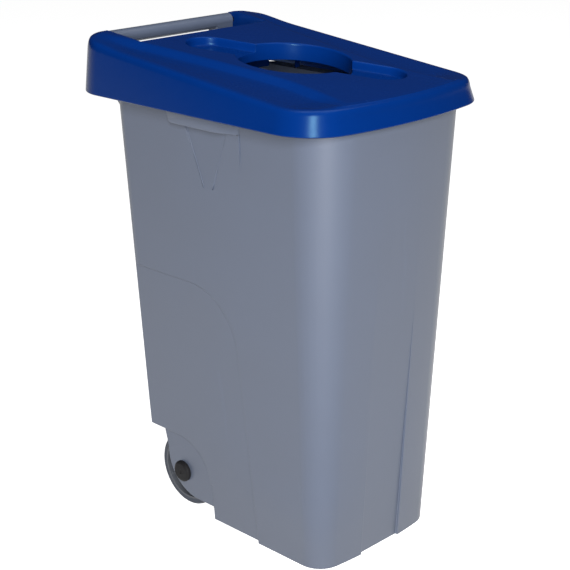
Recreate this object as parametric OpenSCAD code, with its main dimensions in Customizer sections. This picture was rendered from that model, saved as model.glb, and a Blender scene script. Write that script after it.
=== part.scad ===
// Wheelie bin: a tapered tub on two wheels, under a sloping lid with a round throat.
// X runs across the bin, -Y is the front and +Z is up. The floor is z = 0 and the
// origin is the middle of the bin's footprint.

/* [Lid] */
// Width of the lid across its skirt
lid_w = 420; // [380:1:500]
// Length of the lid from front to back
lid_l = 570; // [520:1:680]
// Height of the skirt at the front
lid_front_h = 37; // [32:1:50]
// How much higher the top is at the back than at the front
lid_rise = 59; // [50:1:72]
// Wall of the lid
lid_wall = 3; // [2.5:0.1:3.5]
// Radius of the lid's front corners, seen from above
lid_front_r = 86; // [60:1:95]
// Radius of the lid's rear corners, seen from above
lid_rear_r = 64; // [50:1:66]
// Radius of the bulge along the front edge
crown_r = 820; // [700:10:1400]
// Height of the step between the top panel and the side channels
channel_step = 8; // [5:0.5:10]

/* [Throat] */
// Radius of the round throat
throat_r = 93; // [75:1:95]
// Depth of the collar that hangs from the throat
collar_depth = 28; // [22:1:45]
// Radius of the ends of the diagonal troughs
trough_r = 40; // [30:1:42]
// Distance from the throat's centre to the centre of each trough's end
trough_reach = 146; // [125:1:150]
// Depth of the troughs
trough_depth = 14; // [8:1:18]
// Turn of the troughs away from the bin's length
trough_turn = 22; // [12:1:26]

/* [Tub] */
// Height of the tub to the top of its rim
tub_h = 738; // [650:1:900]
// Width of the tub at its rim, over the wall
tub_top_w = 343; // [320:1:350]
// Width of the tub at the floor
tub_base_w = 279; // [265:1:300]
// Front face at the rim, measured forward from the centre
tub_top_front = 270; // [255:1:272]
// Front face at the floor, measured forward from the centre
tub_base_front = 229; // [200:1:240]
// Rear face at the rim, measured back from the centre
tub_top_rear = 221; // [210:1:224]
// Rear face at the floor, measured back from the centre
tub_base_rear = 190; // [175:1:200]
// Wall of the tub
tub_wall = 3; // [2.5:0.1:4]
// Thickness of the rim
rim_t = 4; // [3:0.5:6]
// Depth of the rear side panels' recess at the floor
panel_recess = 7; // [4:0.5:9]
// Height at which the side panels' recess fades out
panel_h = 440; // [350:1:500]
// Width of the recess in the front face
front_recess_w = 92; // [70:1:120]
// Depth of the front recess at the floor
front_recess_depth = 6; // [3:0.5:8]
// Height at which the front recess fades out
front_recess_h = 530; // [400:1:600]

/* [Handle] */
// Radius of the handle's bar
bar_r = 12; // [11:0.5:14]
// Height of the bar's axis above the rim
bar_lift = 75; // [72:1:80]
// Distance of the bar's axis behind the centre
bar_back = 262; // [255:1:264]
// Overall width of the handle
handle_w = 272; // [240:1:280]
// Width of each handle leg
leg_w = 38; // [28:1:44]
// Radius of the lid's hinge pins
hinge_pin_r = 5; // [4:0.5:6]

/* [Wheels] */
// Radius of the wheels
wheel_r = 67; // [60:1:70]
// Width of the wheel hubs
hub_w = 44; // [36:1:46]
// Thickness of the tread around the hubs
tread_t = 11; // [8:0.5:14]
// Radius of the axle
axle_r = 7; // [6:0.5:8]
// Distance of the axle behind the centre
axle_back = 115; // [105:1:118]
// Radius of the axle caps
cap_r = 19; // [16:0.5:22]

/* [Hidden] */
$fn = 64;

GREY = [0.47, 0.50, 0.56];
BLUE = [0.03, 0.17, 0.45];
BLACK = [0.06, 0.06, 0.07];
SLATE = [0.20, 0.23, 0.29];
STEEL = [0.70, 0.71, 0.73];

seat_gap = 0.3;       // gap left between pieces that only rest or turn past each other
fit_gap = 0.05;       // gap between pieces that are pushed together
run_gap = 0.06;       // radial clearance of everything that turns
eps = 1;              // overlap of a cut past the surface it opens
crown_steps = 10;     // straight pieces in the bulge of an outline
corner_steps = 7;     // straight pieces in each of its corners
first_turn = 10;      // where a front corner's first point lies past the bulge, in degrees

// lid
lid_z = tub_h - rim_t;      // lower edge of the lid
top_front_z = lid_z + lid_front_h;
slope = lid_rise / lid_l;
skirt_lean = 9;             // how far the skirt leans in by its top
throat_x = 3;               // the throat stands a little off the middle
throat_y = -28;
notch_half = handle_w / 2 + 7;
notch_y = bar_back - 88;    // front of the opening between the cheeks
cheek_inner = notch_half + lid_wall;
cheek_low = lid_z + 6;
waist_half = 104;           // half of the top panel's width where it is narrowest
waist_y = -120;
channel_r = 900;            // curve of the top panel's edges
channel_front = 12;
channel_fade = 70;
pad_x = tub_top_w / 2 + 4.5;
pad_rows = [-205, 130];
pad_w = 10;
pad_t = 3;
pin_head_r = hinge_pin_r + 4;
pin_head_t = 3;
pin_depth = 22;             // how far each hinge pin reaches into the bar
hinge_z = tub_h + bar_lift;
above = 1000;               // higher than everything

// tub
rim_half = tub_top_w / 2 + 18.5;
rim_front = lid_l / 2 - lid_wall - 5;
rim_front_r = 72;
rim_rear_r = 32;
tub_crown_r = 900;
tub_base_front_r = 42;
tub_top_front_r = 76;
tub_base_rear_r = 20;
tub_top_rear_r = 30;
shelf_half = handle_w / 2;
shelf_back = bar_back + 13;
shelf_lap = 20;
rib_w = 4;
panel_top_recess = 2;
panel_corner_r = 105;
panel_corner_y = 55;
panel_front_top = -50;
panel_front_base = -80;
lug_front = -80;
lug_flat_front = -43;
lug_rear = 67;
lug_out = 13;
lug_h = 25;
lug_corner_r = 9;
lug_low = lid_z - lug_h;
grip_mid = -4;
grip_top_half = 48;
grip_base_half = 13;
grip_h = 102;
grip_depth = 2.5;

// wheels
axle_z = wheel_r;
ear_out = 132;
ear_t = 4;
ear_in = ear_out - ear_t;
ear_boss = 2;
ear_boss_r = 15;
washer_t = 2;
washer_r = 13;
hub_out = ear_in - ear_boss - washer_t - 2 * seat_gap;
hub_in = hub_out - hub_w;
rib_out = hub_in - washer_t - 2 * seat_gap;
rib_t = 4;
bay_r = wheel_r + 5;
bay_front = axle_back - bay_r - 6;
ear_back = axle_back + 39;
ear_low = 23;
ear_top = axle_z + bay_r + 4;
ear_r = 75;
ear_slant = 12;              // how far the ear's back edge leans out by its top
cap_t = 8;
nut_t = 1.5;
nut_r = 11;
bush_r = axle_r + 3;
bush_w = 12;
hub_boss_r = bush_r + 5;
hub_web = 4;
spoke_t = 3;

// handle
socket_h = 26;
socket_d = 32;
leg_d = 22;
tongue_wall = 4;
tongue_d = 18;
tongue_low = tub_h + 2;
tongue_h = 60;
leg_x = shelf_half - leg_w / 2;
screw_r = 2.5;
screw_z = tub_h + 12;
screw_l = 18;
screw_head_r = 5;
screw_head_t = 3;
screw_slot = 1.2;

function top_z(y) = top_front_z + slope * (y + lid_l / 2);

function arc(c, r, a0, a1, n) =
    [for (i = [0:n]) let (a = a0 + (a1 - a0) * i / n) [c.x + r * cos(a), c.y + r * sin(a)]];

// A closed outline seen from above: a bulging front, straight sides and rounded corners.
function outline(half, front, rear, bulge, front_r, rear_r) =
    let (cx = half - front_r,
        cy = -front + bulge - sqrt(pow(bulge - front_r, 2) - pow(cx, 2)),
        turn = atan2(cx, -front + bulge - cy))
    concat(
        arc([0, bulge - front], bulge, -90 - turn, -90 + turn, crown_steps),
        arc([cx, cy], front_r, -90 + turn + first_turn, 0, corner_steps),
        arc([half - rear_r, rear - rear_r], rear_r, 0, 90, corner_steps),
        arc([rear_r - half, rear - rear_r], rear_r, 90, 180, corner_steps),
        arc([-cx, cy], front_r, 180, 270 - turn - first_turn, corner_steps));

// A closed skin through rings of points, each ring having as many points as the next.
module skin(rings) {
    n = len(rings[0]);
    last = len(rings) - 1;
    polyhedron(
        points = [for (ring = rings) for (p = ring) p],
        faces = concat(
            [[for (i = [0:n - 1]) i]],
            [for (k = [0:last - 1]) for (i = [0:n - 1]) let (j = (i + 1) % n)
                each [[k * n + i, (k + 1) * n + i, k * n + j],
                    [k * n + j, (k + 1) * n + i, (k + 1) * n + j]]],
            [[for (i = [n - 1:-1:0]) last * n + i]]));
}

function at_height(points, z) = [for (p = points) [p.x, p.y, z]];

// ---- tub ----

function tub_ring(z, inset) = let (k = z / tub_h)
    at_height(outline(
        tub_base_w / 2 + (tub_top_w - tub_base_w) / 2 * k - inset,
        tub_base_front + (tub_top_front - tub_base_front) * k - inset,
        tub_base_rear + (tub_top_rear - tub_base_rear) * k - inset,
        tub_crown_r,
        tub_base_front_r + (tub_top_front_r - tub_base_front_r) * k - inset,
        tub_base_rear_r + (tub_top_rear_r - tub_base_rear_r) * k - inset / 2), z);

module tub_block(inset, low, high) {
    skin([tub_ring(low, inset), tub_ring(high, inset)]);
}

// Side view of a rear side panel, drawn with the bin's length across and its height up.
module panel_shape(grow) {
    offset(delta = grow) union() {
        polygon([[300, -20], [300, panel_h], [panel_corner_y, panel_h],
            [panel_front_top, panel_h - panel_corner_r], [panel_front_base, -20]]);
        translate([panel_corner_y, panel_h - panel_corner_r]) circle(panel_corner_r);
    }
}

// Everything outside the sloping face of a side panel, on the side given by side.
module beyond_panel(side, inset) {
    base_x = tub_base_w / 2 - panel_recess - inset;
    top_x = tub_base_w / 2 + (tub_top_w - tub_base_w) / 2 * panel_h / tub_h - panel_top_recess - inset;
    lean = (top_x - base_x) / panel_h;
    rotate([90, 0, 0]) linear_extrude(700, center = true) polygon([
        [side * (base_x - 20 * lean), -20], [side * 260, -20],
        [side * 260, panel_h], [side * top_x, panel_h]]);
}

module side_panel(side, inset, grow) {
    intersection() {
        beyond_panel(side, inset);
        rotate([90, 0, 90]) linear_extrude(600, center = true) panel_shape(grow);
    }
}

module front_recess(inset, grow) {
    base_y = front_recess_depth - tub_base_front + inset;
    top_y = -tub_base_front - (tub_top_front - tub_base_front) * front_recess_h / tub_h + inset;
    rotate([90, 0, 90]) linear_extrude(front_recess_w + 2 * grow, center = true) polygon([
        [base_y + 20 * (base_y - top_y) / front_recess_h, -20], [-400, -20],
        [-400, front_recess_h], [top_y, front_recess_h]]);
}

// The wheels' bay, seen from the side: an arch over the wheel, open below and behind.
module bay_shape(grow) {
    union() {
        translate([axle_back, axle_z]) circle(bay_r + grow);
        translate([bay_front - grow, -20]) square([400, axle_z + 20]);
        translate([axle_back, -20]) square([400, axle_z + 20 + bay_r + grow]);
    }
}

module ear_shape() {
    difference() {
        union() {
            translate([bay_front - 5, ear_low]) square([ear_back - ear_r - bay_front + 5, 130]);
            translate([ear_back - ear_r, ear_low + ear_r]) circle(ear_r);
            polygon([[bay_front - 5, ear_low + ear_r], [ear_back - 1, ear_low + ear_r],
                [ear_back - 1 + ear_slant, ear_top], [bay_front - 5, ear_top]]);
        }
        translate([-50, ear_top]) square([400, 200]);
    }
}

module side_extrude(from_x, to_x) {
    translate([from_x, 0, 0]) rotate([90, 0, 90]) linear_extrude(to_x - from_x) children();
}

module axle_hole(r, from_x, to_x) {
    translate([from_x, axle_back, axle_z]) rotate([0, 90, 0]) cylinder(r = r, h = to_x - from_x);
}

module tub_shell() {
    difference() {
        tub_block(0, 0, tub_h);
        difference() {
            tub_block(tub_wall, tub_wall, tub_h + eps);
            for (side = [-1, 1]) side_panel(side, tub_wall, tub_wall);
            front_recess(tub_wall, tub_wall);
            side_extrude(-300, 300) bay_shape(tub_wall);
        }
        for (side = [-1, 1]) side_panel(side, 0, 0);
        front_recess(0, 0);
        side_extrude(-300, 300) bay_shape(0);
    }
}

module rim() {
    difference() {
        union() {
            translate([0, 0, lid_z]) linear_extrude(rim_t) intersection() {
                polygon(outline(rim_half, rim_front, tub_top_rear, crown_r, rim_front_r, rim_rear_r));
                translate([-300, -400]) square([600, 400 + tub_top_rear]);
            }
            translate([-shelf_half, tub_top_rear - shelf_lap, lid_z])
                cube([2 * shelf_half, shelf_back - tub_top_rear + shelf_lap, rim_t]);
        }
        tub_block(tub_wall, lid_z - eps, tub_h + eps);
    }
}

// A moulded lug under the rim on each side, square at the back and slanting off in front.
module lug(side) {
    wall_x = tub_top_w / 2 - 6;
    foot_x = tub_top_w / 2 - 1;
    face_x = tub_top_w / 2 + lug_out;
    intersection() {
        linear_extrude(lid_z - seat_gap) polygon([
            [side * wall_x, lug_rear], [side * face_x, lug_rear], [side * face_x, lug_flat_front],
            [side * foot_x, lug_front], [side * wall_x, lug_front]]);
        side_extrude(-300, 300) union() {
            translate([lug_rear - lug_corner_r, lug_low + lug_corner_r]) circle(lug_corner_r);
            translate([lug_rear - lug_corner_r, lug_low + lug_corner_r]) square([lug_corner_r, lug_h]);
            translate([lug_front, lug_low]) square([lug_rear - lug_corner_r - lug_front, 2 * lug_h]);
        }
    }
}

module grip_shape(grow) {
    offset(delta = grow) union() {
        polygon([[-grip_top_half, 0], [grip_top_half, 0],
            [grip_base_half, -grip_h + grip_base_half], [-grip_base_half, -grip_h + grip_base_half]]);
        translate([0, -grip_h + grip_base_half]) circle(grip_base_half);
    }
}

// A shallow hollow below each lug, deepest at its top, for the fingers of a lifter.
module grip(side, inset, grow) {
    wall_x = tub_base_w / 2 + (tub_top_w - tub_base_w) / 2 * lug_low / tub_h;
    foot_x = wall_x - (tub_top_w - tub_base_w) / 2 * grip_h / tub_h;
    over = 4;
    intersection() {
        rotate([90, 0, 90]) linear_extrude(600, center = true)
            translate([grip_mid, lug_low]) grip_shape(grow);
        rotate([90, 0, 0]) linear_extrude(200, center = true) polygon([
            [side * (foot_x - inset), lug_low - grip_h - over],
            [side * 260, lug_low - grip_h - over], [side * 260, lug_low + over],
            [side * (wall_x - grip_depth - inset), lug_low + (inset > 0 ? over : 0)]]);
    }
}

// A rib under the shelf that carries the handle.
module shelf_rib(x) {
    root = tub_top_rear - 8;
    tip = shelf_back - 6;
    translate([x - rib_w / 2, 0, 0]) rotate([90, 0, 90]) linear_extrude(rib_w) polygon([
        [root, lid_z + eps], [tip, lid_z + eps], [tip, lid_z - 8],
        [root + 6, lid_z - 60], [root, lid_z - 60]]);
}

module leg_socket(side) {
    translate([side * leg_x - leg_w / 2, bar_back - socket_d / 2, lid_z])
        cube([leg_w, socket_d, socket_h]);
}

module tub() {
    color(GREY) difference() {
        union() {
            tub_shell();
            rim();
            for (side = [-1, 1]) {
                lug(side);
                intersection() {
                    tub_block(0, 500, lid_z);
                    grip(side, tub_wall, tub_wall);
                }
                side_extrude(side > 0 ? ear_in : -ear_out, side > 0 ? ear_out : -ear_in) ear_shape();
                side_extrude(side > 0 ? ear_in - ear_boss : -ear_in, side > 0 ? ear_in : ear_boss - ear_in)
                    translate([axle_back, axle_z]) circle(ear_boss_r);
                side_extrude(side > 0 ? rib_out - rib_t : -rib_out, side > 0 ? rib_out : rib_t - rib_out)
                    intersection() {
                        bay_shape(1);
                        translate([axle_back - 20, axle_z - 18]) square([40, 200]);
                    }
                shelf_rib(side * (shelf_half - leg_w + 4));
                shelf_rib(side * (shelf_half - 4));
            }
            for (side = [-1, 1]) difference() {
                leg_socket(side);
                leg_tongue(side, fit_gap);
            }
        }
        for (side = [-1, 1]) {
            grip(side, 0, 0);
            screw_shank(side, screw_r + fit_gap);
        }
        side_extrude(ear_out, 200) bay_face();
        side_extrude(-200, -ear_out) bay_face();
        axle_hole(axle_r + fit_gap, -200, 200);
    }
}

// The flat round face around the axle on the outside of each ear.
module bay_face() {
    intersection() {
        bay_shape(0);
        translate([-50, -20]) square([400, axle_z + 20 + bay_r]);
    }
}

// ---- handle ----

module leg_tongue(side, grow) {
    w = leg_w - 2 * tongue_wall + 2 * grow;
    translate([side * leg_x - w / 2, bar_back - tongue_d / 2 - grow, tongue_low - grow])
        cube([w, tongue_d + 2 * grow, tongue_h]);
}

module screw_shank(side, r) {
    translate([side * leg_x, bar_back + socket_d / 2 + eps, screw_z])
        rotate([90, 0, 0]) cylinder(r = r, h = screw_l + 2);
}

module handle_loop() {
    leg_low = lid_z + socket_h + fit_gap;
    bore_l = pin_depth + 2;
    color(GREY) difference() {
        union() {
            translate([-shelf_half, bar_back, hinge_z]) rotate([0, 90, 0])
                cylinder(r = bar_r, h = handle_w);
            for (side = [-1, 1]) {
                leg_tongue(side, 0);
                translate([side * leg_x - leg_w / 2, bar_back - leg_d / 2, leg_low])
                    cube([leg_w, leg_d, hinge_z - leg_low]);
            }
        }
        for (side = [-1, 1]) {
            translate([side > 0 ? shelf_half - bore_l : -shelf_half - eps, bar_back, hinge_z])
                rotate([0, 90, 0]) cylinder(r = hinge_pin_r + run_gap, h = bore_l + eps);
            screw_shank(side, screw_r + fit_gap);
        }
    }
}

// A cross-headed screw through the back of each socket into the handle's leg.
module handle_screws() {
    slot_l = 7;
    slot_d = 1.4;
    color(STEEL) for (side = [-1, 1])
        translate([side * leg_x, bar_back + socket_d / 2 + fit_gap, screw_z]) {
            rotate([90, 0, 0]) cylinder(r = screw_r, h = screw_l);
            difference() {
                rotate([-90, 0, 0]) cylinder(r = screw_head_r, h = screw_head_t);
                translate([-screw_slot / 2, screw_head_t - slot_d, -slot_l / 2])
                    cube([screw_slot, 2 * slot_d, slot_l]);
                translate([-slot_l / 2, screw_head_t - slot_d, -screw_slot / 2])
                    cube([slot_l, 2 * slot_d, screw_slot]);
            }
        }
}

// ---- lid ----

function lid_outline(inset) = outline(lid_w / 2 - inset, lid_l / 2 - inset, lid_l / 2 - inset,
    crown_r, lid_front_r - inset, lid_rear_r - inset);

// The leaning skirt and sloping top, as one solid block.
module lid_block(inset, low) {
    skin([
        at_height(lid_outline(inset), low),
        [for (p = lid_outline(skirt_lean + inset)) [p.x, p.y, top_z(p.y) - inset]]]);
}

// The two channels beside the top panel. They are shallower towards the front corners,
// and grow widens and deepens them to leave a wall below.
module channels(grow) {
    y_front = channel_front - lid_l / 2;
    intersection() {
        for (side = [-1, 1]) translate([side * (waist_half + channel_r), waist_y, 0])
            cylinder(r = channel_r + grow, h = above, $fn = 128);
        rotate([90, 0, 90]) linear_extrude(lid_w, center = true) polygon([
            [y_front, top_z(y_front) - grow],
            [y_front + channel_fade, top_z(y_front + channel_fade) - channel_step - grow],
            [lid_l / 2 + eps, top_z(lid_l / 2 + eps) - channel_step - grow],
            [lid_l / 2 + eps, above], [y_front, above]]);
    }
}

// The throat and its diagonal troughs, seen from above.
module trough_shape(grow) {
    translate([throat_x, throat_y]) rotate(trough_turn) {
        for (end = [-1, 1]) translate([0, end * trough_reach]) circle(trough_r + grow);
        square([2 * (trough_r + grow), 2 * trough_reach], center = true);
    }
}

// A slab that follows the slope of the top, from drop below it to drop + t below it.
module sloping_slab(drop, t) {
    rotate([90, 0, 90]) linear_extrude(lid_w, center = true) polygon([
        [-lid_l / 2, top_z(-lid_l / 2) - drop], [lid_l / 2, top_z(lid_l / 2) - drop],
        [lid_l / 2, top_z(lid_l / 2) - drop - t], [-lid_l / 2, top_z(-lid_l / 2) - drop - t]]);
}

// Side view of the walls beside and ahead of the handle, which end inside the lid's skin.
module cheek_shape() {
    y_back = lid_l / 2 - lid_wall / 2;
    polygon([
        [notch_y - lid_wall, cheek_low], [y_back, cheek_low],
        [y_back - skirt_lean, top_z(y_back - skirt_lean) - lid_wall / 2],
        [notch_y - lid_wall, top_z(notch_y - lid_wall) - lid_wall / 2]]);
}

module cheek_walls() {
    difference() {
        rotate([90, 0, 90]) linear_extrude(2 * cheek_inner, center = true) cheek_shape();
        translate([-notch_half, notch_y, 0]) cube([2 * notch_half, 200, above]);
    }
}

// Pads that rest on the tub's rim, two along each side.
module rest_pads() {
    intersection() {
        for (side = [-1, 1]) for (y = pad_rows)
            translate([side * pad_x - pad_w / 2, y, tub_h + seat_gap]) cube([pad_w, pad_t, 200]);
        sloping_slab(channel_step + lid_wall / 2, 200);
    }
}

module lid() {
    color(BLUE) difference() {
        union() {
            difference() {
                lid_block(0, lid_z);
                difference() {
                    lid_block(lid_wall, lid_z - eps);
                    channels(lid_wall);
                }
            }
            cheek_walls();
            rest_pads();
            intersection() {
                linear_extrude(above) trough_shape(lid_wall);
                sloping_slab(lid_wall / 2, trough_depth + lid_wall / 2);
            }
            intersection() {
                translate([throat_x, throat_y, 0]) cylinder(r = throat_r + lid_wall, h = above);
                sloping_slab(lid_wall / 2, collar_depth - lid_wall / 2);
            }
        }
        channels(0);
        translate([-notch_half, notch_y, lid_z - eps]) cube([2 * notch_half, 200, 200]);
        translate([throat_x, throat_y, 0]) cylinder(r = throat_r, h = above);
        intersection() {
            linear_extrude(above) trough_shape(0);
            sloping_slab(-20, trough_depth + 20);
        }
        for (side = [-1, 1]) translate([0, bar_back, hinge_z]) rotate([0, side * 90, 0]) {
            translate([0, 0, notch_half - eps]) cylinder(r = hinge_pin_r + fit_gap, h = lid_wall + 2 * eps);
            translate([0, 0, cheek_inner]) cylinder(r = pin_head_r + seat_gap, h = pin_head_t + seat_gap);
        }
    }
}

module hinge_pin(side) {
    tip = shelf_half - pin_depth;
    head = cheek_inner + fit_gap;
    color(BLACK) translate([0, bar_back, hinge_z]) rotate([0, side * 90, 0]) {
        translate([0, 0, tip]) cylinder(r = hinge_pin_r, h = head - tip + eps);
        translate([0, 0, head]) cylinder(r = pin_head_r, h = pin_head_t);
    }
}

// ---- wheels ----

// Puts a piece drawn along +Z from the middle of the axle onto one side of the bin.
module on_axle(side) {
    translate([0, axle_back, axle_z]) rotate([0, side * 90, 0]) children();
}

module axle() {
    axle_half = ear_out + nut_t + 3;
    color(STEEL) on_axle(1) translate([0, 0, -axle_half]) cylinder(r = axle_r, h = 2 * axle_half);
}

module wheel_hub(side) {
    rim_r = wheel_r - tread_t;
    color(GREY) on_axle(side) translate([0, 0, hub_in]) difference() {
        union() {
            difference() {
                cylinder(r = rim_r - fit_gap, h = hub_w);
                for (z = [-eps, hub_w / 2 + 2]) translate([0, 0, z])
                    cylinder(r = rim_r - hub_web, h = hub_w / 2 - 2 + eps);
            }
            cylinder(r = hub_boss_r, h = hub_w);
            for (i = [0:5]) rotate(i * 60) translate([bush_r + 2, -spoke_t / 2, hub_web])
                cube([rim_r - bush_r - hub_web, spoke_t, hub_w - 2 * hub_web]);
        }
        translate([0, 0, -eps]) cylinder(r = axle_r + 1, h = hub_w + 2 * eps);
        for (z = [-eps, hub_w - bush_w]) translate([0, 0, z])
            cylinder(r = bush_r + fit_gap, h = bush_w + eps);
    }
}

module tread(side) {
    color(SLATE) on_axle(side) translate([0, 0, hub_in + hub_w / 2]) rotate_extrude($fn = 96) polygon([
        [wheel_r - tread_t, -hub_w / 2 + 1], [wheel_r - 4, -hub_w / 2 + 1],
        [wheel_r - 1, -hub_w / 2 + 3], [wheel_r, -hub_w / 2 + 7], [wheel_r, hub_w / 2 - 7],
        [wheel_r - 1, hub_w / 2 - 3], [wheel_r - 4, hub_w / 2 - 1],
        [wheel_r - tread_t, hub_w / 2 - 1]]);
}

module hub_bushes(side) {
    color(BLACK) on_axle(side) for (z = [hub_in, hub_out - bush_w]) translate([0, 0, z]) difference() {
        cylinder(r = bush_r, h = bush_w - fit_gap);
        translate([0, 0, -eps]) cylinder(r = axle_r + run_gap, h = bush_w + 2 * eps);
    }
}

module axle_washers(side) {
    color(STEEL) on_axle(side) for (z = [rib_out + seat_gap, hub_out + seat_gap])
        translate([0, 0, z]) difference() {
            cylinder(r = washer_r, h = washer_t);
            translate([0, 0, -eps]) cylinder(r = axle_r + fit_gap, h = washer_t + 2 * eps);
        }
}

module push_nut(side) {
    color(STEEL) on_axle(side) translate([0, 0, ear_out + fit_gap]) difference() {
        cylinder(r = nut_r, h = nut_t);
        translate([0, 0, -eps]) cylinder(r = axle_r + fit_gap, h = nut_t + 2 * eps);
    }
}

module axle_cap(side) {
    color(BLACK) on_axle(side) translate([0, 0, ear_out + fit_gap]) rotate_extrude() polygon([
        [nut_r + 0.5, 0], [cap_r, 0], [cap_r, 4], [cap_r - 1, 6], [cap_r - 4, cap_t],
        [4, cap_t], [2.5, cap_t - 1.5], [0, cap_t - 1.5], [0, 5], [axle_r + 0.3, 5],
        [axle_r + 0.3, nut_t + 0.3], [nut_r + 0.5, nut_t + 0.3]]);
}

tub();
handle_loop();
handle_screws();
lid();
hinge_pin(-1);  // hinge_pin_left
hinge_pin(1);  // hinge_pin_right
axle();
wheel_hub(-1);  // wheel_hub_left
wheel_hub(1);  // wheel_hub_right
tread(-1);  // tread_left
tread(1);  // tread_right
hub_bushes(-1);  // hub_bushes_left
hub_bushes(1);  // hub_bushes_right
axle_washers(-1);  // axle_washers_left
axle_washers(1);  // axle_washers_right
push_nut(-1);  // push_nut_left
push_nut(1);  // push_nut_right
axle_cap(-1);  // axle_cap_left
axle_cap(1);  // axle_cap_right
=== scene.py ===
import math
import bpy
from mathutils import Matrix, Vector


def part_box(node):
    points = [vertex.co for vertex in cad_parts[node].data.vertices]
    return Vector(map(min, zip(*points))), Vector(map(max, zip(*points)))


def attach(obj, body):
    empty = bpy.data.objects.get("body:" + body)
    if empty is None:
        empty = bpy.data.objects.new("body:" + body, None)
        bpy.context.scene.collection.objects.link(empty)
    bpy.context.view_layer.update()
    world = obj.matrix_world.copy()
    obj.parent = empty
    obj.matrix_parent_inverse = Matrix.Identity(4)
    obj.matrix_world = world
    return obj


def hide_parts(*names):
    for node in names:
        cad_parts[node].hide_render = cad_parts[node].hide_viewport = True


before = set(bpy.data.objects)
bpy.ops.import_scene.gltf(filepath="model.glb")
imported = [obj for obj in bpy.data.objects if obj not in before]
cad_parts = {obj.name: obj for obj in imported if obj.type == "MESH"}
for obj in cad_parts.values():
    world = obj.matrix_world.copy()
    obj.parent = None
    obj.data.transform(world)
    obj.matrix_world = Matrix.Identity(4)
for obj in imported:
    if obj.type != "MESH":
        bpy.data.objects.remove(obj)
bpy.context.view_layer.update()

# ---- camera ----
# A person's view of the bin's front and left side from a little above, a bit under two
# and a half metres off.
view_turn = 45.41
view_down = 19.41
view_roll = -0.36
view = bpy.data.cameras.new("view")
view.sensor_width = 36.0
view.lens = 88.9
view.shift_x = 0.0054
view.shift_y = 0.0013
camera = bpy.data.objects.new("camera", view)
camera.location = (-1.601, -1.579, 1.199)
camera.rotation_euler = (
    Matrix.Rotation(math.radians(-view_turn), 3, "Z")
    @ Matrix.Rotation(math.radians(90 - view_down), 3, "X")
    @ Matrix.Rotation(math.radians(view_roll), 3, "Z")).to_euler()
bpy.context.scene.collection.objects.link(camera)
bpy.context.scene.camera = camera


# ---- moulded grey plastic ----
# The tub, its handle and most other parts are polypropylene. The mould leaves a fine
# grain, the flow of the plastic leaves faint clouds, and use leaves scuffs and dust.
class Value:
    """A shader socket that adds its own maths nodes when used in an expression."""

    def __init__(self, finish, socket):
        self.finish = finish
        self.socket = socket

    def maths(self, operation, a, b, clamp=False):
        return self.finish.add("ShaderNodeMath", {"operation": operation, "use_clamp": clamp},
                               {0: a, 1: b})

    def __add__(self, other):
        return self.maths("ADD", self, other)

    def __radd__(self, other):
        return self.maths("ADD", other, self)

    def __sub__(self, other):
        return self.maths("SUBTRACT", self, other)

    def __rsub__(self, other):
        return self.maths("SUBTRACT", other, self)

    def __mul__(self, other):
        return self.maths("MULTIPLY", self, other)

    def __rmul__(self, other):
        return self.maths("MULTIPLY", other, self)

    def held(self):
        return self.maths("ADD", self, 0.0, clamp=True)


class Finish:
    """A material made of nodes, around one Principled shader."""

    def __init__(self, name):
        self.material = bpy.data.materials.new(name)
        self.material.use_nodes = True
        self.tree = self.material.node_tree
        self.shader = self.tree.nodes["Principled BSDF"]
        self.place = self.add("ShaderNodeTexCoord", {}, {}, "Object")

    def join(self, value, socket):
        if isinstance(value, Value):
            self.tree.links.new(value.socket, socket)
        else:
            socket.default_value = value

    def add(self, kind, settings, sockets, out=0):
        node = self.tree.nodes.new(kind)
        for name, setting in settings.items():
            setattr(node, name, setting)
        for name, value in sockets.items():
            self.join(value, node.inputs[name])
        return Value(self, node.outputs[out])

    def noise(self, scale, detail=2.0, stretch=(1, 1, 1)):
        where = self.place
        if stretch != (1, 1, 1):
            where = self.add("ShaderNodeMapping", {}, {"Vector": self.place, "Scale": stretch})
        return self.add("ShaderNodeTexNoise", {}, {"Vector": where, "Scale": scale, "Detail": detail})

    def band(self, value, low, high):
        """0 below low, 1 above high and smooth between."""
        return self.add("ShaderNodeMapRange", {"interpolation_type": "SMOOTHSTEP"},
                        {"Value": value, "From Min": low, "From Max": high})

    def mix(self, amount, first, second):
        return self.add("ShaderNodeMix", {"data_type": "RGBA"}, {0: amount, 6: first, 7: second}, 2)

    def height(self):
        return self.add("ShaderNodeSeparateXYZ", {}, {"Vector": self.place}, "Z")

    def surface(self, colour, roughness, relief, depth, **fixed):
        self.join(colour, self.shader.inputs["Base Color"])
        self.join(roughness, self.shader.inputs["Roughness"])
        bump = self.add("ShaderNodeBump", {}, {"Height": relief, "Distance": depth, "Strength": 0.6})
        self.join(bump, self.shader.inputs["Normal"])
        for name, value in fixed.items():
            self.shader.inputs[name.replace("_", " ")].default_value = value
        return self.material


def shade(colour, factor):
    return (colour[0] * factor, colour[1] * factor, colour[2] * factor, 1.0)


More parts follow.
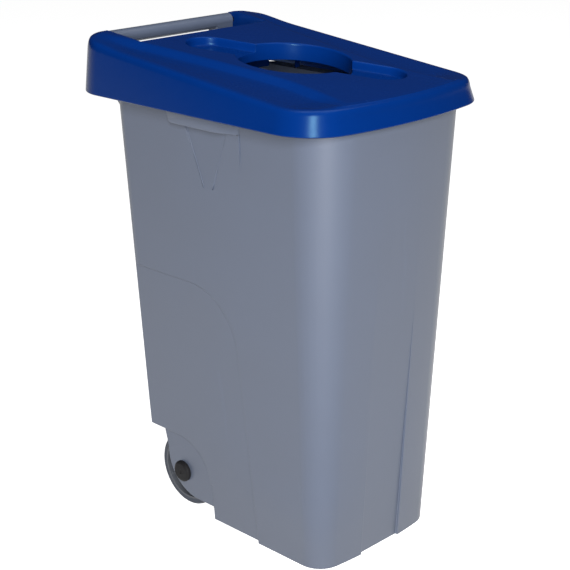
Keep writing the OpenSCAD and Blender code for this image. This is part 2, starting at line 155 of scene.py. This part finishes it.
def moulded(name, colour, roughness, scuff=0.35, grain=900.0, **fixed):
    """Moulded plastic: clouded colour, fine grain, scuffs, and dust near the floor."""
    f = Finish(name)
    clouds = f.noise(7.0, 3.0)
    grains = f.noise(grain, 2.0)
    upright = (1.0, 1.0, 0.16)
    scuffs = f.band(f.noise(38.0, 6.0, upright), 0.66, 0.78) * scuff
    dust_edge = f.noise(22.0, 4.0) * 0.09
    dust_most = 0.07
    dust = f.band(f.height() * -1.0 + dust_edge, -0.10, 0.03) * dust_most
    base = f.mix(f.band(clouds, 0.25, 0.75), shade(colour, 0.975), shade(colour, 1.025))
    worn = f.mix(scuffs, base, shade(colour, 1.35))
    dust_colour = (0.30, 0.29, 0.27, 1.0)
    dusty = f.mix(dust, worn, dust_colour)
    rough = roughness + (clouds - 0.5) * 0.10 + scuffs * 0.30 + dust * 0.8 + (grains - 0.5) * 0.08
    relief = grains * 0.75 + f.noise(grain * 0.22, 3.0) * 0.25
    grain_depth = 0.00012
    return f.surface(dusty, rough.held(), relief, grain_depth, **fixed)


GREY = (0.098, 0.121, 0.178)
grey_plastic = moulded("grey_plastic", GREY, 0.38, 0.18, Specular_IOR_Level=0.6)


def choose(obj):
    """Makes obj the only selected and active object."""
    bpy.ops.object.select_all(action="DESELECT")
    obj.select_set(True)
    bpy.context.view_layer.objects.active = obj


def round_edges(obj, width, angle=32.0):
    """Rounds the sharp edges of a finished shape and smooths the rest."""
    choose(obj)
    edge = obj.modifiers.new("edges", "BEVEL")
    edge.width = width
    edge.segments = 2
    edge.limit_method = "ANGLE"
    edge.angle_limit = math.radians(angle)
    edge.use_clamp_overlap = False
    bpy.ops.object.modifier_apply(modifier="edges")
    bpy.ops.object.shade_smooth_by_angle(angle=math.radians(angle))
    flats = obj.modifiers.new("flats", "WEIGHTED_NORMAL")
    flats.keep_sharp = True
    bpy.ops.object.modifier_apply(modifier="flats")


def from_frame(name, node, body, material, width):
    """A piece that keeps the frame's shape, with its corners rounded off."""
    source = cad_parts[node]
    obj = bpy.data.objects.new(name, source.data.copy())
    bpy.context.scene.collection.objects.link(obj)
    choose(obj)
    bpy.ops.object.mode_set(mode="EDIT")
    bpy.ops.mesh.select_all(action="SELECT")
    same_point, same_plane = 0.00002, 0.3
    bpy.ops.mesh.remove_doubles(threshold=same_point)
    bpy.ops.mesh.dissolve_limited(angle_limit=math.radians(same_plane))
    bpy.ops.object.mode_set(mode="OBJECT")
    round_edges(obj, width)
    obj.data.materials.clear()
    obj.data.materials.append(material)
    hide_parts(node)
    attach(obj, body)
    return obj


# ---- tub ----
# One deep moulding, tapered so that empty tubs stack, with an ear each side for the axle.
# Its rim is turned out under the lid, and the sides of it are drawn out further than the
# frame's, so that no gap shows through the throat.
tub = from_frame("tub_moulding", "tub", "tub", grey_plastic, 0.0014)
rim_low = 0.7305
rim_inner = 0.176
rim_width = 0.014
rim_spread = 0.009
for corner in tub.data.vertices:
    out = abs(corner.co.x) - rim_inner
    if corner.co.z > rim_low and out > 0:
        corner.co.x += math.copysign(rim_spread, corner.co.x) * min(out / rim_width, 1.0)

# ---- handle ----
# A bar across the back on two legs, moulded in the tub's plastic. Its legs stand in
# sockets behind the rim, held by one screw each.
handle = from_frame("handle_moulding", "handle_loop", "tub", grey_plastic, 0.0025)

# ---- lid ----
# One blue moulding that slopes down to the front. Cheeks flank the handle, a raised panel
# has a lower shelf along each side, and the round throat has a collar and two troughs.
lid_low, lid_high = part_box("lid")
half_w = lid_high.x
half_l = lid_high.y
foot_z = lid_low.z
top_rise = 0.059
front_h = 0.037
slope = top_rise / (2 * half_l)
front_z = foot_z + front_h
wall = 0.003
lean = 0.009
bulge_r = 0.820
front_corner_r = 0.086
rear_corner_r = 0.071


def top_z(y):
    return front_z + slope * (y + half_l)


def arc(cx, cy, r, start, end, steps):
    """Points along an arc, without its first one."""
    turns = [math.radians(start + (end - start) * i / steps) for i in range(1, steps + 1)]
    return [(cx + r * math.cos(a), cy + r * math.sin(a)) for a in turns]


def lid_outline(inset):
    """The lid seen from above: a bulging front and rounded corners, drawn in by inset."""
    half = half_w - inset
    end = half_l - inset
    bulge = bulge_r - inset
    front_r = front_corner_r - inset
    rear_r = rear_corner_r - inset
    cx = half - front_r
    cy = bulge - end - math.sqrt((bulge - front_r) ** 2 - cx ** 2)
    turn = math.degrees(math.atan2(cx, bulge - end - cy))
    long_steps, corner_steps = 24, 12
    points = arc(0, bulge - end, bulge, -90 - turn, -90 + turn, long_steps)
    points += arc(cx, cy, front_r, -90 + turn, 0, corner_steps)
    side = [cy + (end - rear_r - cy) * i / long_steps for i in range(1, long_steps + 1)]
    points += [(half, y) for y in side]
    points += arc(half - rear_r, end - rear_r, rear_r, 0, 90, corner_steps)
    points += [(rear_r - half, end)]
    points += arc(rear_r - half, end - rear_r, rear_r, 90, 180, corner_steps)
    points += [(-half, y) for y in reversed([cy] + side[:-1])]
    points += arc(-cx, cy, front_r, 180, 270 - turn, corner_steps)[:-1]
    return points


waist_y = -0.12
waist_half = 0.104
rear_flare = 0.042
rear_length = 0.295
front_flare = 0.020
front_length = 0.155
shelf_depth = 0.0095


def waist(y):
    """Half width of the raised panel, which is narrowest in front of the throat."""
    if y > waist_y:
        return waist_half + rear_flare * ((y - waist_y) / rear_length) ** 1.3
    return waist_half + front_flare * ((waist_y - y) / front_length) ** 1.5


def eased(t):
    """0 up to 0, 1 from 1 on and smooth between."""
    t = min(max(t, 0.0), 1.0)
    return t * t * (3 - 2 * t)


def fade(y):
    """0 along the front edge, 1 along the sides and 0.2 along the back edge."""
    front = eased((y + half_l - 0.014) / 0.085)
    back = eased((y - 0.16) / 0.10)
    return front * (1 - 0.8 * back)


def drawn_in(points, spread):
    """Points held within the panel's half width plus spread."""
    return [(math.copysign(min(abs(x), waist(y) + spread), x), y) for x, y in points]


def part_way(first, second, t):
    return [(a[0] + (b[0] - a[0]) * t, a[1] + (b[1] - a[1]) * t) for a, b in zip(first, second)]


def shoulder(near, far):
    """The outline drawn in by near along the front and by far behind the corners."""
    return [(a[0] + (b[0] - a[0]) * fade(a[1]), a[1] + (b[1] - a[1]) * fade(a[1]))
            for a, b in zip(lid_outline(lean + near), lid_outline(lean + far))]


def sloped(points, drop, share=0.0):
    """Lifts points onto the top's slope, drop below it plus that share of the shelf's depth."""
    return [(x, y, top_z(y) - drop - share * (shelf_depth * fade(y))) for x, y in points]


def flat(points, z):
    return [(x, y, z) for x, y in points]


def skin(name, rings):
    """A closed mesh through rings that have the same number of points."""
    n = len(rings[0])
    faces = [tuple(range(n - 1, -1, -1))]
    for k in range(len(rings) - 1):
        for i in range(n):
            j = (i + 1) % n
            faces.append((k * n + i, k * n + j, (k + 1) * n + j, (k + 1) * n + i))
    faces.append(tuple((len(rings) - 1) * n + i for i in range(n)))
    mesh = bpy.data.meshes.new(name)
    mesh.from_pydata([p for ring in rings for p in ring], [], faces)
    obj = bpy.data.objects.new(name, mesh)
    bpy.context.scene.collection.objects.link(obj)
    choose(obj)
    bpy.ops.object.mode_set(mode="EDIT")
    bpy.ops.mesh.select_all(action="SELECT")
    bpy.ops.mesh.remove_doubles(threshold=0.000001)
    bpy.ops.mesh.normals_make_consistent(inside=False)
    bpy.ops.object.mode_set(mode="OBJECT")
    return obj


def shape_with(obj, tool, operation):
    """Cuts obj with tool, or joins tool to it, and removes the tool."""
    choose(obj)
    step = obj.modifiers.new("step", "BOOLEAN")
    step.operation = operation
    step.solver = "EXACT"
    step.object = tool
    bpy.ops.object.modifier_apply(modifier="step")
    bpy.data.objects.remove(tool)


def block(name, low, high):
    bpy.ops.object.select_all(action="DESELECT")
    bpy.ops.mesh.primitive_cube_add(size=1, location=(
        (low[0] + high[0]) / 2, (low[1] + high[1]) / 2, (low[2] + high[2]) / 2))
    obj = bpy.context.active_object
    obj.name = name
    obj.scale = (high[0] - low[0], high[1] - low[1], high[2] - low[2])
    bpy.ops.object.transform_apply(location=True, rotation=True, scale=True)
    return obj


# The lid's skin runs up the skirt, over the rounded shoulder and the shelf's crest, and
# then up a soft step onto the panel. The hollow leaves one wall's thickness under it.
crest = shoulder(0.0065, 0.024)
ridge_foot = drawn_in(shoulder(0.009, 0.026), 0.017)
lid = skin("lid_moulding", [
    flat(lid_outline(0.0015), foot_z),
    flat(lid_outline(0.0), foot_z + 0.0015),
    sloped(lid_outline(lean - 0.002), 0.0190),
    sloped(shoulder(-0.0009, 0.0002), 0.0125, 0.10),
    sloped(shoulder(0.0003, 0.0022), 0.0085, 0.22),
    sloped(shoulder(0.0018, 0.0060), 0.0050, 0.40),
    sloped(shoulder(0.0038, 0.0120), 0.0028, 0.58),
    sloped(crest, 0.0016, 0.76),
    sloped(part_way(crest, ridge_foot, 0.4), 0.001, 0.90),
    sloped(part_way(crest, ridge_foot, 0.8), 0.0, 1.0),
    sloped(ridge_foot, 0.0, 0.96),
    sloped(drawn_in(shoulder(0.0105, 0.0270), 0.0130), 0.0, 0.84),
    sloped(drawn_in(shoulder(0.0120, 0.0280), 0.0060), 0.0, 0.42),
    sloped(drawn_in(shoulder(0.0135, 0.0290), 0.0025), 0.0, 0.17),
    sloped(drawn_in(shoulder(0.0150, 0.0300), -0.0010), 0.0, 0.03),
    sloped(drawn_in(shoulder(0.0165, 0.0310), -0.0050), 0.0)])
core = lid.copy()
core.data = lid.data.copy()
core_drop = 0.0005
core.location.z = -core_drop
bpy.context.scene.collection.objects.link(core)
choose(core)
bpy.ops.object.transform_apply(location=True, rotation=True, scale=True)
under = drawn_in(lid_outline(lean + 0.034), -0.006)
hollow = skin("hollow", [
    flat(lid_outline(wall), foot_z - 0.001),
    sloped(lid_outline(lean + wall), 0.0225),
    sloped(shoulder(wall + 0.004, wall + 0.012), 0.0060, 0.85),
    sloped(under, wall + 0.0015, 1.0),
    sloped(drawn_in(lid_outline(lean + 0.036), -0.008), wall + 0.0005)])
shape_with(lid, hollow, "DIFFERENCE")

throat_x, throat_y = 0.003, -0.028
throat_r = 0.093
trough_r = 0.040
trough_reach = 0.146
trough_turn = math.radians(22)
trough_depth = 0.014
collar_depth = 0.028


def ring_of(r):
    return [(throat_x + x, throat_y + y) for x, y in arc(0, 0, r, 0, 360, 96)]


def stadium(r):
    """A long outline with round ends, turned across the lid."""
    points = arc(0, trough_reach, r, 0, 180, 32) + arc(0, -trough_reach, r, 180, 360, 32)
    c, s = math.cos(trough_turn), math.sin(trough_turn)
    return [(throat_x + x * c - y * s, throat_y + x * s + y * c) for x, y in points]


def lipped(shape, r, low):
    """Rings of an opening whose upper edge is rounded over."""
    return [sloped(shape(r), low), sloped(shape(r), 0.0035), sloped(shape(r + 0.0003), 0.0020),
            sloped(shape(r + 0.0010), 0.0009), sloped(shape(r + 0.0022), 0.0002),
            sloped(shape(r + 0.0040), -0.0001), sloped(shape(r + 0.0040), -0.03)]


shape_with(lid, skin("trough_floor", [
    sloped(stadium(trough_r + wall), 0.017), sloped(stadium(trough_r + wall), 0.0015)]), "UNION")
shape_with(lid, skin("collar", [
    sloped(ring_of(throat_r + wall - 0.001), collar_depth),
    sloped(ring_of(throat_r + wall), collar_depth - 0.001),
    sloped(ring_of(throat_r + wall), 0.0015)]), "UNION")

# The handle's notch is walled in: a block fills the lid there and the notch is cut out of
# it. Short pads under the lid rest on the tub's rim.
notch_half = 0.143
notch_y = 0.174
above = 0.95
cheeks = block("cheeks", (-notch_half - wall, notch_y - wall, foot_z + 0.006),
               (notch_half + wall, half_l - 0.0015, above))
shape_with(cheeks, core, "INTERSECT")
shape_with(lid, cheeks, "UNION")
pad_x = 0.176
pad_half = 0.005
pad_low = 0.7383
for side in (-1, 1):
    for pad_y in (-0.205, 0.130):
        pad = block("pad", (side * pad_x - pad_half, pad_y, pad_low),
                    (side * pad_x + pad_half, pad_y + wall, top_z(pad_y) - 0.011))
        shape_with(lid, pad, "UNION")
notch = block("notch", (-notch_half, notch_y, foot_z - 0.01), (notch_half, 0.4, above))
shape_with(lid, notch, "DIFFERENCE")
shape_with(lid, skin("throat", lipped(ring_of, throat_r, 0.08)), "DIFFERENCE")
shape_with(lid, skin("trough", [
    sloped(stadium(trough_r - 0.004), trough_depth),
    sloped(stadium(trough_r - 0.0015), trough_depth - 0.0007),
    sloped(stadium(trough_r - 0.0004), trough_depth - 0.002)]
    + lipped(stadium, trough_r, trough_depth - 0.005)), "DIFFERENCE")
pin_hole_r = 0.00505
pin_hole_length = 0.02
pin_low, pin_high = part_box("hinge_pin_left")
hinge = (pin_low + pin_high) / 2
for side in (-1, 1):
    bpy.ops.object.select_all(action="DESELECT")
    bpy.ops.mesh.primitive_cylinder_add(vertices=48, radius=pin_hole_r, depth=pin_hole_length,
                                        location=(side * (notch_half + wall / 2), hinge.y, hinge.z),
                                        rotation=(0, math.pi / 2, 0))
    pin_hole = bpy.context.active_object
    bpy.ops.object.transform_apply(location=True, rotation=True, scale=True)
    shape_with(lid, pin_hole, "DIFFERENCE")
round_edges(lid, 0.0007, 34.0)
BLUE = (0.0006, 0.024, 0.165)
blue_plastic = moulded("blue_plastic", BLUE, 0.26, 0.08, 1100.0,
                        Specular_IOR_Level=0.14, Specular_Tint=(0.40, 0.85, 1.0, 1.0))
lid.data.materials.append(blue_plastic)
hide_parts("lid")
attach(lid, "lid")

# ---- hinge pins, bushes and axle caps ----
# Black nylon parts. The hinge pins press into the cheeks and turn in the handle's ends,
# the bushes line the wheels, and a cap hides each end of the axle.
BLACK = (0.007, 0.007, 0.009)
black_plastic = moulded("black_plastic", BLACK, 0.50, 0.05, Specular_IOR_Level=0.08)
for name in ("left", "right"):
    for piece, node, body, width in (
            ("hinge_pin_" + name + "_moulded", "hinge_pin_" + name, "lid", 0.0006),
            ("bushes_" + name, "hub_bushes_" + name, "wheel_" + name, 0.0005),
            ("cap_" + name, "axle_cap_" + name, "tub", 0.0006)):
        from_frame(piece, node, body, black_plastic, width)

# ---- wheels ----
# A ribbed hub moulded in dark plastic, with a softer slate tread around it.
HUB = (0.060, 0.068, 0.085)
hub_plastic = moulded("hub_plastic", HUB, 0.45)


def tread_rubber():
    """Slate rubber: dull, faintly pitted, with pale smears."""
    f = Finish("tread_rubber")
    colour = (0.036, 0.045, 0.066)
    pits = f.noise(1400.0, 2.0)
    clouds = f.noise(30.0, 4.0)
    smear = f.band(f.noise(60.0, 5.0, (0.4, 1.0, 1.0)), 0.52, 0.75) * 0.35
    base = f.mix(clouds, shade(colour, 0.85), shade(colour, 1.15))
    dust_colour = (0.13, 0.13, 0.13, 1.0)
    dusty = f.mix(smear, base, dust_colour)
    rough = 0.62 + (clouds - 0.5) * 0.2 + smear * 0.4
    return f.surface(dusty, rough.held(), pits, 0.0002)


tread_material = tread_rubber()
for name in ("left", "right"):
    from_frame("hub_" + name, "wheel_hub_" + name, "wheel_" + name, hub_plastic, 0.0008)
    from_frame("tyre_" + name, "tread_" + name, "wheel_" + name, tread_material, 0.0008)


# ---- axle, washers, push nuts and screws ----
# Zinc-plated steel: bright, drawn along the bar, and a little stained.
def zinc():
    """Plated steel with fine lines and dull stains."""
    f = Finish("zinc_steel")
    colour = (0.60, 0.61, 0.62)
    lines = f.noise(420.0, 3.0, (0.05, 1.0, 1.0))
    stains = f.band(f.noise(45.0, 4.0), 0.5, 0.72)
    stain_colour = (0.36, 0.35, 0.32, 1.0)
    base = f.mix(stains * 0.5, shade(colour, 1.0), stain_colour)
    rough = 0.28 + lines * 0.12 + stains * 0.18
    return f.surface(base, rough.held(), lines, 0.00006, Metallic=1.0)


zinc_steel = zinc()
for node, width in (("axle", 0.001), ("axle_washers_left", 0.0003), ("axle_washers_right", 0.0003),
                    ("push_nut_left", 0.0002), ("push_nut_right", 0.0002), ("handle_screws", 0.0003)):
    from_frame(node + "_plated", node, "tub", zinc_steel, width)

# ---- floor and light ----
# A white studio floor glows, so that it stays white right up to the bin, but throws no
# light on it. A tall soft box stands off the bin's front left corner and a wide one hangs
# above it, in dim surroundings.
bpy.ops.object.select_all(action="DESELECT")
bpy.ops.mesh.primitive_plane_add(size=60, location=(0, 0, 0))
floor = bpy.context.active_object
floor.name = "floor"
f = Finish("floor_paint")
paper = f.mix(f.noise(3.0), (0.86, 0.86, 0.86, 1.0), (0.88, 0.88, 0.88, 1.0))
white = (1.0, 1.0, 1.0, 1.0)
floor.data.materials.append(f.surface(paper, 0.9, f.noise(200.0), 0.0001, Emission_Strength=0.93,
                                      Emission_Color=white, Specular_IOR_Level=0.0))
floor.visible_diffuse = False


def soft_light(name, place, aim, size, power):
    """A glowing rectangle at place that faces aim."""
    lamp = bpy.data.lights.new(name, "AREA")
    lamp.shape = "RECTANGLE"
    lamp.size, lamp.size_y = size
    lamp.energy = power
    obj = bpy.data.objects.new(name, lamp)
    obj.location = place
    obj.rotation_euler = (Vector(aim) - Vector(place)).to_track_quat("-Z", "Y").to_euler()
    bpy.context.scene.collection.objects.link(obj)


soft_light("key_light", place=(-2.15, -2.25, 1.55), aim=(0, 0, 0.6), size=(0.40, 1.7), power=150)
soft_light("top_light", place=(0.2, -0.4, 3.0), aim=(0, 0, 0.4), size=(2.2, 2.2), power=34)
world = bpy.data.worlds.new("studio")
world.use_nodes = True
surroundings = world.node_tree.nodes["Background"]
surroundings.inputs["Color"].default_value = white
surroundings.inputs["Strength"].default_value = 0.03
bpy.context.scene.world = world
bpy.context.scene.view_settings.view_transform = "Standard"
